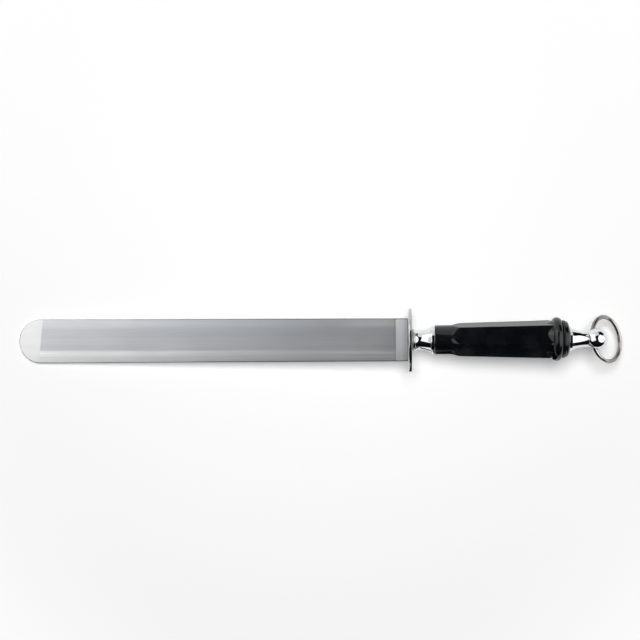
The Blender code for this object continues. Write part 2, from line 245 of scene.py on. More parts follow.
def combined(shape: Shape, tool: Shape, cut: Cut) -> Shape:
    """Works one solid shape on another.

    Args:
        shape: The shape that is kept, which is freed.
        tool: The shape that joins or drills it, which is freed.
        cut: Whether the tool joins or drills.

    Returns:
        The result as a new shape, without the slivers that the cut leaves.
    """
    kept = as_object("kept_shape", shape)
    worker = as_object("tool_shape", tool)
    step = kept.modifiers.new("cut", "BOOLEAN")
    step.operation = cut.value
    step.object = worker
    step.solver = "EXACT"
    evaluated = kept.evaluated_get(bpy.context.evaluated_depsgraph_get())
    result = bmesh.new()
    result.from_mesh(evaluated.to_mesh())
    evaluated.to_mesh_clear()
    bmesh.ops.remove_doubles(result, verts=result.verts, dist=WELD_DISTANCE)
    bmesh.ops.dissolve_degenerate(result, dist=WELD_DISTANCE, edges=result.edges)
    for used in (kept, worker):
        mesh = used.data
        bpy.data.objects.remove(used)
        bpy.data.meshes.remove(mesh)
    return result


# Node graphs


def opaque(colour: Any) -> Any:
    """A constant colour with full opacity added, or a socket as it is."""
    return (*colour, 1.0) if isinstance(colour, tuple) else colour


class Graph:
    """Adds nodes to one node tree. A value is either a constant or the socket that feeds it."""

    def __init__(self, tree: bpy.types.NodeTree) -> None:
        """Keeps the tree that nodes go into."""
        self.tree = tree

    def add(self, kind: str, sockets: Mapping[Any, Any] | None = None, **settings: Any) -> Node:
        """Adds one node.

        Args:
            kind: The node's type.
            sockets: Values of its inputs, by name or number.
            **settings: The node's own properties.

        Returns:
            The new node.
        """
        node = self.tree.nodes.new(kind)
        for name, value in settings.items():
            setattr(node, name, value)
        for key, value in (sockets or {}).items():
            if isinstance(value, Socket):
                self.tree.links.new(value, node.inputs[key])
            else:
                node.inputs[key].default_value = value
        return node

    def feed(self, node: Node, name: str, value: Socket) -> None:
        """Links a value to an input of a node that is already there."""
        self.tree.links.new(value, node.inputs[name])

    def parts(self, vector: Socket) -> Any:
        """The X, Y and Z of a vector, by name."""
        return self.add("ShaderNodeSeparateXYZ", {0: vector}).outputs

    def vector(self, x: Any = 0.0, y: Any = 0.0, z: Any = 0.0) -> Socket:
        """The vector with this X, Y and Z."""
        return self.add("ShaderNodeCombineXYZ", {0: x, 1: y, 2: z}).outputs[0]

    def stretched(self, vector: Socket, scale: Any) -> Socket:
        """A vector multiplied part by part."""
        return self.add("ShaderNodeVectorMath", {0: vector, 1: scale}, operation="MULTIPLY").outputs[0]

    def length(self, vector: Socket) -> Socket:
        """The length of a vector."""
        return self.add("ShaderNodeVectorMath", {0: vector}, operation="LENGTH").outputs["Value"]

    def noise(self, vector: Socket, scale: Any, detail: float = 2.0, roughness: float = 0.5) -> Socket:
        """A noise value from 0 to 1, read at a place, with a number of finer layers of some strength."""
        sockets = {"Vector": vector, "Scale": scale, "Detail": detail, "Roughness": roughness}
        return self.add("ShaderNodeTexNoise", sockets).outputs["Fac"]

    def math(self, operation: str, first: Any, second: Any = 0.0) -> Socket:
        """One step of arithmetic."""
        return self.add("ShaderNodeMath", {0: first, 1: second}, operation=operation).outputs[0]

    def scaled(self, value: Any, factor: Any) -> Socket:
        """A value times a factor."""
        return self.math("MULTIPLY", value, factor)

    def remap(self, value: Any, start: float, end: float, low: Any = 0.0, high: Any = 1.0) -> Socket:
        """Carries a value smoothly from the range start to end into low to high, and holds it there."""
        sockets = {"Value": value, 1: start, 2: end, 3: low, 4: high}
        return self.add("ShaderNodeMapRange", sockets, interpolation_type="SMOOTHSTEP").outputs[0]

    def between(self, share: Any, low: Any, high: Any) -> Socket:
        """The value at a share of the way from low to high."""
        return self.remap(share, 0.0, 1.0, low, high)

    def mix(self, share: Any, first: Any, second: Any) -> Socket:
        """Mixes two colours, with this share of the second."""
        sockets = {0: share, 6: opaque(first), 7: opaque(second)}
        return self.add("ShaderNodeMix", sockets, data_type="RGBA").outputs[2]


class Effect:
    """A shared effect: a node group that is built once and placed in each material with its own values."""

    name = "effect"
    inputs: tuple[tuple[str, str, Any], ...] = ()
    outputs: tuple[str, ...] = ()

    def tree(self) -> bpy.types.NodeTree:
        """The group, built at its first use.

        Returns:
            The node group.
        """
        made = bpy.data.node_groups.get(self.name)
        if made:
            return made
        made = bpy.data.node_groups.new(self.name, "ShaderNodeTree")
        for label, kind, value in self.inputs:
            socket = made.interface.new_socket(label, in_out="INPUT", socket_type=kind)
            if value is not None:
                socket.default_value = value
        for label in self.outputs:
            made.interface.new_socket(label, in_out="OUTPUT", socket_type="NodeSocketFloat")
        graph = Graph(made)
        source = graph.add("NodeGroupInput")
        graph.add("NodeGroupOutput", self.wire(graph, source.outputs))
        return made

    def wire(self, graph: Graph, given: Any) -> dict[str, Socket]:
        """Wires the group from its inputs and gives the socket that feeds each output."""
        raise NotImplementedError

    def place(self, graph: Graph, **values: Any) -> Any:
        """Places the group in a material with values for its inputs, and gives its outputs."""
        return graph.add("ShaderNodeGroup", values, node_tree=self.tree()).outputs


class DrawnGrain(Effect):
    """Straight grain along X: broad soft bands and fine lines, as a belt or a drawing die leaves them."""

    name = "drawn_grain"
    inputs = (
        ("Vector", "NodeSocketVector", None),
        ("Fineness", "NodeSocketFloat", 5000.0),
        ("Stretch", "NodeSocketFloat", 0.01),
    )
    outputs = ("Bands", "Lines")
    band_fineness = 0.06
    band_range = (0.3, 0.7)
    line_range = (0.25, 0.75)

    def wire(self, graph: Graph, given: Any) -> dict[str, Socket]:
        """Wires the effect.

        Args:
            graph: The group's graph.
            given: The group's inputs.

        Returns:
            The broad bands and the fine lines, each from 0 to 1.
        """
        along = graph.stretched(given["Vector"], graph.vector(given["Stretch"], 1.0, 1.0))
        broad = graph.scaled(given["Fineness"], self.band_fineness)
        bands = graph.noise(along, broad, detail=3.0, roughness=0.6)
        lines = graph.noise(along, given["Fineness"], detail=2.0, roughness=0.65)
        return {"Bands": graph.remap(bands, *self.band_range), "Lines": graph.remap(lines, *self.line_range)}


class TurnedGrain(Effect):
    """Fine rings round the X axis, as a lathe and a polishing wheel leave them."""

    name = "turned_grain"
    inputs = (("Vector", "NodeSocketVector", None), ("Fineness", "NodeSocketFloat", 4000.0))
    outputs = ("Rings",)
    ring_range = (0.3, 0.7)
    wander = 0.0002

    def wire(self, graph: Graph, given: Any) -> dict[str, Socket]:
        """Wires the effect.

        Args:
            graph: The group's graph.
            given: The group's inputs.

        Returns:
            The rings, from 0 to 1.
        """
        parts = graph.parts(given["Vector"])
        radius = graph.length(graph.vector(0.0, parts["Y"], parts["Z"]))
        turn = graph.math("ARCTAN2", parts["Y"], parts["Z"])
        slow_turn = graph.scaled(graph.math("SINE", turn), self.wander)
        ring_place = graph.vector(parts["X"], radius, slow_turn)
        rings = graph.noise(ring_place, given["Fineness"], detail=3.0, roughness=0.6)
        return {"Rings": graph.remap(rings, *self.ring_range)}


class Handling(Effect):
    """Marks of use: cloudy smears and sparse hairline scratches."""

    name = "handling"
    inputs = (("Vector", "NodeSocketVector", None), ("Scale", "NodeSocketFloat", 60.0))
    outputs = ("Smears", "Scratches")
    smear_range = (0.35, 0.7)
    hair_range = (0.70, 0.76)
    hair_fineness = 40.0
    hair_pitch = 0.4
    hair_slants_and_stretches = ((0.5, 0.04), (-0.9, 0.05))

    def wire(self, graph: Graph, given: Any) -> dict[str, Socket]:
        """Wires the effect.

        Args:
            graph: The group's graph.
            given: The group's inputs.

        Returns:
            The smears and the scratches, each from 0 to 1.
        """
        smears = graph.noise(given["Vector"], given["Scale"], detail=5.0, roughness=0.6)
        hairs = []
        for slant, stretch in self.hair_slants_and_stretches:
            turn = (self.hair_pitch, slant / 2, slant)
            mapping = {"Vector": given["Vector"], "Rotation": turn, "Scale": (stretch, 1.0, 1.0)}
            lines = graph.add("ShaderNodeMapping", mapping).outputs[0]
            fine = graph.noise(lines, graph.scaled(given["Scale"], self.hair_fineness), detail=1.0)
            hairs.append(graph.remap(fine, *self.hair_range))
        return {"Smears": graph.remap(smears, *self.smear_range), "Scratches": graph.math("MAXIMUM", *hairs)}


DRAWN_GRAIN = DrawnGrain()
TURNED_GRAIN = TurnedGrain()
HANDLING = Handling()


# Finishes


@dataclass(frozen=True)
class Finish:
    """A surface finish, built as a material on a piece's own drawing axes."""

    name: str
    colour: Colour
    shade: Colour
    roughness: float
    worn_roughness: float
    metallic: float = 1.0
    relief: float = 0.00001

    def material(self, place: Place) -> bpy.types.Material:
        """Builds the material.

        Args:
            place: The piece's drawing axes, which the pattern follows.

        Returns:
            The material.
        """
        made = bpy.data.materials.new(self.name)
        made.use_nodes = True
        graph = Graph(made.node_tree)
        shader = made.node_tree.nodes["Principled BSDF"]
        shader.inputs["Metallic"].default_value = self.metallic
        coordinates = graph.add("ShaderNodeTexCoord").outputs["Object"]
        mapping = {"Vector": coordinates, "Location": place.origin, "Rotation": place.turn.to_euler()}
        drawn = graph.add("ShaderNodeMapping", mapping, vector_type="TEXTURE").outputs[0]
        self.dress(graph, shader, drawn)
        return made

    def dress(self, graph: Graph, shader: Node, drawn: Socket) -> None:
        """Wires colour, roughness and relief into the shader from the place along the drawing axes."""
        raise NotImplementedError

    def relieve(self, graph: Graph, shader: Node, height: Socket) -> None:
        """Gives the surface a fine relief, whose height goes from 0 to 1."""
        bump = graph.add("ShaderNodeBump", {"Height": height, "Distance": self.relief, "Strength": 1.0})
        graph.feed(shader, "Normal", bump.outputs["Normal"])


@dataclass(frozen=True)
class BladePlan:
    """The blade seen from above: a slow taper from the guard at X = 0 to a half-round tip."""

    length: float = 0.300
    width_at_guard: float = 0.0325
    width_at_tip: float = 0.0340

    @property
    def tip_centre(self) -> float:
        """The station of the centre of the half-round tip."""
        return self.width_at_tip / 2 - self.length

    def half_width(self, x: float) -> float:
        """Half the blade's width at a station."""
        return (self.width_at_guard + (self.width_at_tip - self.width_at_guard) * x / self.tip_centre) / 2


BLADE_PLAN = BladePlan()


@dataclass(frozen=True)
class BladeSteel(Finish):
    """Lengthwise-cut steel, polished at the tip and plain by the guard, with painted sheen on its flanks and
    painted shade.
    """

    fineness: float = 3600.0
    stretch: float = 0.012
    band_depth: float = 0.45
    line_depth: float = 0.22
    smear_scale: float = 45.0
    smear_roughness: float = 0.04
    tip_colour: Colour = (0.74, 0.74, 0.735)
    tip_end: float = -0.2826
    tip_slant: float = 0.09
    tip_fade: float = 0.0003
    tip_band_depth: float = 0.15
    tip_roughness: float = 0.30
    plain_colour: Colour = (0.94, 0.955, 0.98)
    plain_start: float = -0.0092
    plain_fade: float = 0.0002
    plain_roughness: float = 0.55
    plain_relief: float = 0.25
    # Painted shade darkens the plain band towards the guard.
    guard_shade_from: float = -0.00552
    guard_shade_depth: float = 0.6
    cross_grain: float = 900.0
    cross_stretch: float = 0.03
    cross_depth: float = 0.3
    scribed_colour: Colour = (0.2, 0.2, 0.21)
    scribed_place: float = -0.0098
    scribed_width: float = 0.0006
    scribed_depth: float = 0.22
    flat_top: float = 0.0092
    flat_bottom: float = -0.0058
    flat_fade: float = 0.0034
    flat_stray: float = 0.0010
    # The flanks' lighter colours are painted sheen, for the light the flanks catch more than the flat.
    upper_flank_sheen: Colour = (0.745, 0.740, 0.738)
    lower_flank_sheen: Colour = (0.965, 0.960, 0.950)
    # Painted shade darkens the body along its length from the tip, and fades out before the guard.
    painted_shade_from: float = -0.330
    painted_shade_to: float = -0.130
    flat_painted_shade: float = 0.55
    flank_painted_shade: float = 0.35
    shade_fade_from: float = -0.080
    shade_fade_to: float = -0.020
    # The dark line along the edge is painted shade.
    edge_shade_colour: Colour = (0.13, 0.13, 0.14)
    edge_line: float = 0.0010
    edge_depth_at_tip: float = 0.35
    edge_depth_at_guard: float = 0.80

    def brushed(self, graph: Graph, parts: Any, grain: Any) -> Socket:
        """The brushed body: flat and flanks, with painted shade that darkens them along their length and
        fades out before the guard.

        Args:
            graph: The material's graph.
            parts: The place along the drawing axes.
            grain: The bands and lines of the grain.

        Returns:
            The colour.
        """
        across = graph.math("ADD", parts["Y"], graph.scaled(grain["Bands"], self.flat_stray))
        above = graph.remap(across, self.flat_top, self.flat_top + self.flat_fade)
        below = graph.remap(across, self.flat_bottom, self.flat_bottom - self.flat_fade)
        # The flanks take their lighter colours here, as painted sheen.
        body = graph.mix(below, graph.mix(above, self.colour, self.upper_flank_sheen), self.lower_flank_sheen)
        most_painted_shade = graph.between(below, self.flat_painted_shade, self.flank_painted_shade)
        # used is the share of painted shade along the blade's length.
        used = graph.remap(parts["X"], self.painted_shade_from, self.painted_shade_to, 0.0, most_painted_shade)
        shade_fade = graph.remap(parts["X"], self.shade_fade_from, self.shade_fade_to, 1.0, 0.0)
        lengthwise_shaded = graph.mix(graph.scaled(used, shade_fade), body, self.shade)
        banded = graph.mix(graph.scaled(grain["Bands"], self.band_depth), lengthwise_shaded, self.shade)
        return graph.mix(graph.scaled(grain["Lines"], self.line_depth), banded, self.shade)

    def plain(self, graph: Graph, parts: Any, drawn: Socket) -> Socket:
        """The plain band by the guard, with faint grain across the blade and painted shade that darkens it
        towards the guard.

        Args:
            graph: The material's graph.
            parts: The place along the drawing axes.
            drawn: The same place as a vector.

        Returns:
            The colour.
        """
        at_guard = graph.remap(parts["X"], self.guard_shade_from, 0.0)
        crossed = graph.noise(graph.stretched(drawn, (1.0, self.cross_stretch, 1.0)), self.cross_grain)
        painted_guard_shade = graph.scaled(at_guard, self.guard_shade_depth)
        grain_and_guard_shade = graph.math("ADD", painted_guard_shade, graph.scaled(crossed, self.cross_depth))
        return graph.mix(grain_and_guard_shade, self.plain_colour, self.shade)

    def edge(self, graph: Graph, parts: Any) -> Socket:
        """The painted shade along the blade's edge: a dark line, stronger towards the guard.

        Args:
            graph: The material's graph.
            parts: The place along the drawing axes.

        Returns:
            The mask.
        """
        centre = BLADE_PLAN.tip_centre
        past_centre = graph.math("MINIMUM", graph.math("SUBTRACT", parts["X"], centre), 0.0)
        out = graph.length(graph.vector(past_centre, parts["Y"]))
        halves = (BLADE_PLAN.width_at_tip / 2, BLADE_PLAN.width_at_guard / 2)
        half = graph.remap(parts["X"], centre, 0.0, *halves)
        depth = graph.math("SUBTRACT", half, out)
        ends = (self.edge_depth_at_tip, self.edge_depth_at_guard)
        strength = graph.remap(parts["X"], centre, self.shade_fade_from, *ends)
        return graph.remap(depth, self.edge_line, self.edge_line / 3, 0.0, strength)

    def dress(self, graph: Graph, shader: Node, drawn: Socket) -> None:
        """Wires colour, roughness and relief into the shader.

        Args:
            graph: The material's graph.
            shader: Its Principled shader.
            drawn: The place on the piece, along its drawing axes.
        """
        parts = graph.parts(drawn)
        grain = DRAWN_GRAIN.place(graph, Vector=drawn, Fineness=self.fineness, Stretch=self.stretch)
        marks = HANDLING.place(graph, Vector=drawn, Scale=self.smear_scale)
        slanted = graph.math("ADD", parts["X"], graph.scaled(parts["Y"], -self.tip_slant))
        at_tip = graph.remap(slanted, self.tip_end + self.tip_fade, self.tip_end - self.tip_fade)
        plain_end = self.plain_start + self.plain_fade
        at_guard = graph.remap(parts["X"], self.plain_start - self.plain_fade, plain_end)
        bright = graph.mix(graph.scaled(grain["Bands"], self.tip_band_depth), self.tip_colour, self.shade)
        tipped = graph.mix(at_tip, self.brushed(graph, parts, grain), bright)
        off_scribe = graph.math("ABSOLUTE", graph.math("SUBTRACT", parts["X"], self.scribed_place))
        scribed = graph.remap(off_scribe, self.scribed_width / 3, self.scribed_width, self.scribed_depth, 0.0)
        lined = graph.mix(scribed, tipped, self.scribed_colour)
        faced = graph.mix(at_guard, lined, self.plain(graph, parts, drawn))
        # Painted shade along the edge goes into the base colour here.
        graph.feed(shader, "Base Color", graph.mix(self.edge(graph, parts), faced, self.edge_shade_colour))
        brushed = graph.between(grain["Lines"], self.roughness, self.worn_roughness)
        polished = graph.between(at_tip, brushed, self.tip_roughness)
        rough = graph.between(at_guard, polished, self.plain_roughness)
        smears = graph.scaled(marks["Smears"], self.smear_roughness)
        graph.feed(shader, "Roughness", graph.math("ADD", rough, smears))
        depth = graph.between(graph.math("MAXIMUM", at_tip, at_guard), 1.0, self.plain_relief)
        self.relieve(graph, shader, graph.scaled(grain["Lines"], depth))


@dataclass(frozen=True)
class TurnedMetal(Finish):
    """Metal turned on a lathe and polished: faint rings, smears and hairline scratches."""

    fineness: float = 4000.0
    ring_depth: float = 0.3
    mark_scale: float = 110.0
    scratch_depth: float = 0.12
    scratch_roughness: float = 0.06

    def gloss(self, graph: Graph, drawn: Socket, rough: Socket) -> Socket:
        """The roughness of the metal, as given unless a finish says otherwise."""
        return rough

    def dress(self, graph: Graph, shader: Node, drawn: Socket) -> None:
        """Wires colour, roughness and relief into the shader.

        Args:
            graph: The material's graph.
            shader: Its Principled shader.
            drawn: The place on the piece, along its drawing axes.
        """
        rings = TURNED_GRAIN.place(graph, Vector=drawn, Fineness=self.fineness)["Rings"]
        marks = HANDLING.place(graph, Vector=drawn, Scale=self.mark_scale)
        height = graph.scaled(rings, self.ring_depth)
        tinted = graph.mix(height, self.colour, self.shade)
        scored = graph.mix(graph.scaled(marks["Scratches"], self.scratch_depth), tinted, self.shade)
        graph.feed(shader, "Base Color", scored)
        rough = graph.between(marks["Smears"], self.roughness, self.worn_roughness)
        scratched = graph.math("ADD", rough, graph.scaled(marks["Scratches"], self.scratch_roughness))
        graph.feed(shader, "Roughness", self.gloss(graph, drawn, scratched))
        self.relieve(graph, shader, height)


@dataclass(frozen=True)
class GuardSteel(TurnedMetal):
    """Turned steel with satin faces and a polished rim."""

    rim_radius: float = 0.0233
    rim_fade: float = 0.0003
    rim_roughness: float = 0.07

    def gloss(self, graph: Graph, drawn: Socket, rough: Socket) -> Socket:
        """The roughness of the faces, polished on the rim."""
        reach = graph.length(graph.stretched(drawn, (0.0, 1.0, 1.0)))
        return graph.remap(reach, self.rim_radius, self.rim_radius + self.rim_fade, rough, self.rim_roughness)


@dataclass(frozen=True)
class DrawnWire(Finish):
    """Dull round wire with fine lines along its length, bent into a ring about Z, with painted highlights.

    The far side has a painted highlight round its outer and upper side. One stretch near the ball has a
    painted highlight all round.
    """

    fineness: float = 9000.0
    stretch: float = 0.02
    band_depth: float = 0.2
    mark_scale: float = 160.0
    outside_from: float = -WIRE_RADIUS / 4
    outside_to: float = WIRE_RADIUS / 2
    outer_highlight_turn: float = math.radians(15)
    outer_highlight_spread: float = math.radians(85)
    ball_side_highlight_turn: float = math.radians(-140)
    ball_side_highlight_spread: float = math.radians(50)

    def along(self, graph: Graph, turn: Socket, middle: float, spread: float) -> Socket:
        """A mask that is full at one angle round the ring and gone at a spread to either side."""
        facing = graph.math("COSINE", graph.math("SUBTRACT", turn, middle))
        return graph.remap(facing, math.cos(spread), math.cos(spread / 2))

    def dress(self, graph: Graph, shader: Node, drawn: Socket) -> None:
        """Wires colour, roughness and relief into the shader.

        Args:
            graph: The material's graph.
            shader: Its Principled shader.
            drawn: The place on the piece, along its drawing axes.
        """
        parts = graph.parts(drawn)
        reach = graph.length(graph.vector(parts["X"], parts["Y"]))
        turn = graph.math("ARCTAN2", parts["Y"], parts["X"])
        unrolled = graph.vector(graph.scaled(turn, RING_MEAN_RADIUS), reach, parts["Z"])
        grain = DRAWN_GRAIN.place(graph, Vector=unrolled, Fineness=self.fineness, Stretch=self.stretch)
        marks = HANDLING.place(graph, Vector=drawn, Scale=self.mark_scale)
        # Painted highlight: the outer, upper side of the wire on the far half, and the whole wire on a
        # stretch near the ball.
        outwards = graph.math("ADD", graph.math("SUBTRACT", reach, RING_MEAN_RADIUS), parts["Z"])
        outside = graph.remap(outwards, self.outside_from, self.outside_to)
        outer_highlight = graph.scaled(outside, self.along(graph, turn, self.outer_highlight_turn, self.outer_highlight_spread))
        ball_side_highlight = self.along(graph, turn, self.ball_side_highlight_turn, self.ball_side_highlight_spread)
        bands = graph.between(grain["Bands"], 1.0, 1.0 - self.band_depth)
        bright = graph.scaled(graph.math("MAXIMUM", outer_highlight, ball_side_highlight), bands)
        graph.feed(shader, "Base Color", graph.mix(bright, self.shade, self.colour))
        rough = graph.between(marks["Smears"], self.roughness, self.worn_roughness)
        graph.feed(shader, "Roughness", rough)
        self.relieve(graph, shader, grain["Lines"])


@dataclass(frozen=True)
class GlossPlastic(Finish):
    """Moulded gloss plastic, faintly uneven, with smears and hairline scratches from the hand."""

    metallic: float = 0.0
    mark_scale: float = 70.0
    scratch_roughness: float = 0.05
    unevenness: float = 900.0

    def dress(self, graph: Graph, shader: Node, drawn: Socket) -> None:
        """Wires colour, roughness and relief into the shader.

        Args:
            graph: The material's graph.
            shader: Its Principled shader.
            drawn: The place on the piece, along its drawing axes.
        """
        marks = HANDLING.place(graph, Vector=drawn, Scale=self.mark_scale)
        graph.feed(shader, "Base Color", graph.mix(marks["Smears"], self.colour, self.shade))
        rough = graph.between(marks["Smears"], self.roughness, self.worn_roughness)
        scratched = graph.math("ADD", rough, graph.scaled(marks["Scratches"], self.scratch_roughness))
        graph.feed(shader, "Roughness", scratched)
        self.relieve(graph, shader, graph.noise(drawn, self.unevenness, detail=3.0))


BLADE_STEEL = BladeSteel(
    "lengthwise_steel", (0.608, 0.607, 0.612), (0.420, 0.448, 0.485), 0.33, 0.43, relief=0.000012
)
GUARD_STEEL = GuardSteel("guard_satin", (0.54, 0.54, 0.53), (0.34, 0.34, 0.34), 0.30, 0.40, relief=0.000004)
CHROME = TurnedMetal("polished_chrome", (0.80, 0.805, 0.82), (0.62, 0.63, 0.66), 0.025, 0.05, relief=0.000001)
GRIP_BLACK = GlossPlastic(
    "gloss_black", (0.0022, 0.0030, 0.0040), (0.0050, 0.0058, 0.0072), 0.09, 0.16, relief=0.000003
)
CAP_BLACK = GlossPlastic(
    "cap_gloss_black", (0.0024, 0.0028, 0.0036), (0.0050, 0.0055, 0.0065), 0.10, 0.18, relief=0.000003
)
# The ring's lighter colour is the colour of its painted highlights.
RING_STEEL = DrawnWire("wire_steel", (0.56, 0.545, 0.53), (0.28, 0.26, 0.25), 0.08, 0.14, relief=0.000003)
ZINC = TurnedMetal("zinc_plate", (0.58, 0.58, 0.55), (0.40, 0.40, 0.38), 0.28, 0.45, relief=0.000008)
BRASS = TurnedMetal("washer_brass", (0.75, 0.58, 0.25), (0.50, 0.38, 0.15), 0.22, 0.38, relief=0.000006)


# Sub-assemblies


@dataclass(kw_only=True)
class SubAssembly:
    """One group of pieces, drawn along the steel's axis from the blade's shoulder and set in its place."""

    place: Place = field(default_factory=Place)

    def add(self, node: str, shape: Shape, finish: Finish, body: Body = Body.HANDLE) -> bpy.types.Object:
        """Sets a shape in place as the piece that stands for a CAD node.

        Args:
            node: The CAD node, which is hidden and whose name the piece bears too.
            shape: The shape along its drawing axes, which is freed.
            finish: Its finish.
            body: The body that it rides on.

        Returns:
            The piece.
        """
        bmesh.ops.transform(shape, matrix=self.place.matrix(), verts=shape.verts)
        piece = as_object(f"{node}_piece", shape)
        piece.data.materials.append(finish.material(self.place))
        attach(piece, body.value)
        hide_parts(node)
        log.info("%s: %d faces on %s", piece.name, len(piece.data.polygons), body.value)
        return piece

    def keep(self, node: str, finish: Finish) -> None:
        """Gives a CAD node that stays as it is its finish.

        Args:
            node: The CAD node.
            finish: Its finish.
        """
        mesh = frame["nodes"][node].data
        mesh.materials.clear()
        mesh.materials.append(finish.material(self.place))
        log.info("%s: kept from the frame", node)

    def build(self) -> None:
        """Builds and dresses the pieces."""
        raise NotImplementedError


@dataclass(kw_only=True)
class Blade(SubAssembly):
    """The flat bar with its half-round tip, and the tang that runs on through the handle."""

    tang_end: float
    thickness: float = 0.0050
    edge_thickness: float = 0.0030
    flank_width: float = 0.0085
    crease_angles: Point = (math.radians(4), math.radians(20))
    crease_rounding: float = 0.0036
    least_edge_angle: float = math.radians(60)
    edge_rounding: float = 0.0007
    round_segments: int = 5
    tip_segments: int = 72
    tang_root_length: float = 0.0040
    tang_root_radius: float = 0.00225
    tang_chamfer: float = 0.0008
    tang_segments: int = 48

    def outline(self, run_on: float) -> list[Point]:
        """The plan of the blade, run on past its shoulder.

        Args:
            run_on: How far past the shoulder it goes.

        Returns:
            Points of the plan, round the tip.
        """
        radius, centre = BLADE_PLAN.width_at_tip / 2, BLADE_PLAN.tip_centre
        turns = [math.pi * (0.5 + step / self.tip_segments) for step in range(self.tip_segments + 1)]
        tip = [(centre + radius * math.cos(turn), radius * math.sin(turn)) for turn in turns]
        half = BLADE_PLAN.half_width(run_on)
        return [(run_on, half), *tip, (run_on, -half)]

    def bar(self) -> Shape:
        """The bar: its plan, raised and inset on both faces, cut at the shoulder, with its edges eased.

        Returns:
            The closed bar.
        """
        shape = bmesh.new()
        plan = self.outline(2 * self.flank_width)
        lower = shape.faces.new([shape.verts.new((x, y, -self.edge_thickness / 2)) for x, y in plan])
        raised = bmesh.ops.extrude_face_region(shape, geom=[lower], use_keep_orig=True)["geom"]
        moved = [item for item in raised if isinstance(item, bmesh.types.BMVert)]
        bmesh.ops.translate(shape, verts=moved, vec=(0, 0, self.edge_thickness))
        bmesh.ops.recalc_face_normals(shape, faces=shape.faces)
        upper = next(item for item in raised if isinstance(item, bmesh.types.BMFace))
        inset = {"thickness": self.flank_width, "depth": (self.thickness - self.edge_thickness) / 2}
        for broad in (upper, lower):
            bmesh.ops.inset_region(shape, faces=[broad], use_even_offset=True, **inset)
        whole = shape.verts[:] + shape.edges[:] + shape.faces[:]
        shoulder = {"plane_co": (0, 0, 0), "plane_no": (1, 0, 0), "clear_outer": True}
        cut = bmesh.ops.bisect_plane(shape, geom=whole, **shoulder)
        rim = [item for item in cut["geom_cut"] if isinstance(item, bmesh.types.BMEdge)]
        bmesh.ops.contextual_create(shape, geom=rim)
        bmesh.ops.recalc_face_normals(shape, faces=shape.faces)
        low, high = self.crease_angles
        self.ease(shape, self.crease_rounding, lambda angle: low < angle < high)
        self.ease(shape, self.edge_rounding, lambda angle: angle > self.least_edge_angle)
        return shape

    def ease(self, shape: Shape, rounding: float, chosen: Callable[[float], bool]) -> None:
        """Rounds the edges of a shape that meet at a chosen angle.

        Args:
            shape: The shape.
            rounding: Length taken off each side of an edge.
            chosen: Says whether an edge of this angle is rounded.
        """
        edges = [edge for edge in shape.edges if chosen(edge.calc_face_angle(0.0))]
        style = {"segments": self.round_segments, "profile": 0.5, "affect": "EDGES", "material": -1}
        bmesh.ops.bevel(shape, geom=edges, offset=rounding, clamp_overlap=True, **style)

    def tang(self) -> Shape:
        """The round tang, rooted inside the bar.

        Returns:
            The closed tang.
        """
        start, root = -self.tang_root_length, self.tang_root_radius
        section = Section()
        section.corner(start, 0).corner(start, root).corner(SEAT_GAP / 4, root)
        section.corner(SEAT_GAP / 2, TANG_RADIUS).corner(self.tang_end - self.tang_chamfer, TANG_RADIUS)
        section.corner(self.tang_end, TANG_RADIUS - self.tang_chamfer).corner(self.tang_end, 0)
        return turned(section.traced(), self.tang_segments)

    def build(self) -> None:
        """Builds the blade with its tang."""
        piece = self.add("blade", combined(self.bar(), self.tang(), Cut.JOIN), BLADE_STEEL)
        piece.modifiers.new("even_faces", "WEIGHTED_NORMAL").keep_sharp = True


@dataclass(kw_only=True)
class TurnedPart(SubAssembly):
    """A sub-assembly whose main piece is turned and bored for the tang."""

    front: float
    length: float = 0.0
    bore: float = TANG_RADIUS + FIT

    @property
    def rear(self) -> float:
        """The station of its rear face."""
        return self.front + self.length


@dataclass(kw_only=True)
class Guard(TurnedPart):
    """The thin round disc between blade and handle."""

    length: float = 0.0025
    diameter: float = 0.0480
    front_rounding: float = 0.0012
    rear_rounding: float = 0.0002
    round_steps: int = 10

    def build(self) -> None:
        """Builds the disc with its rounded rim."""
        rim = self.diameter / 2
        section = Section(self.round_steps)
        section.corner(self.front, self.bore).corner(self.front, rim, self.front_rounding)
        section.corner(self.rear, rim, self.rear_rounding).corner(self.rear, self.bore)
        self.add("guard_disc", turned(section.traced()), GUARD_STEEL)


@dataclass(kw_only=True)
class Bolster(TurnedPart):
    """The turned spool: a bead against the guard, a waist, a flare and a flange."""

    length: float = 0.0167
    bead_diameter: float = 0.0170
    bead_length: float = 0.0026
    waist_diameter: float = 0.0146
    waist_from_front: float = 0.0056
    flare_diameter: float = 0.0188
    flare_power: float = 1.7
    flange_diameter: float = 0.0215
    flange_length: float = 0.0029
    groove_depth: float = 0.0005
    front_rounding: float = 0.0013
    rear_rounding: float = 0.0001

    def build(self) -> None:
        """Builds the spool."""
        waist = (self.front + self.waist_from_front, self.waist_diameter / 2)
        bead_end = self.front + self.bead_length
        flange_front = self.rear - self.flange_length
        foot = self.waist_diameter / 2 + self.groove_depth
        flange = self.flange_diameter / 2
        section = Section()
        section.corner(self.front, self.bore)
        section.curve(bead(self.front, bead_end, foot, self.bead_diameter / 2))
        section.curve(flare(waist, (bead_end + SEAT_GAP, foot))[:0:-1])
        section.curve(flare(waist, (flange_front, self.flare_diameter / 2), self.flare_power))
        section.corner(flange_front, flange, self.front_rounding)
        section.corner(self.rear, flange, self.rear_rounding).corner(self.rear, self.bore)
        self.add("bolster", turned(section.traced()), CHROME)


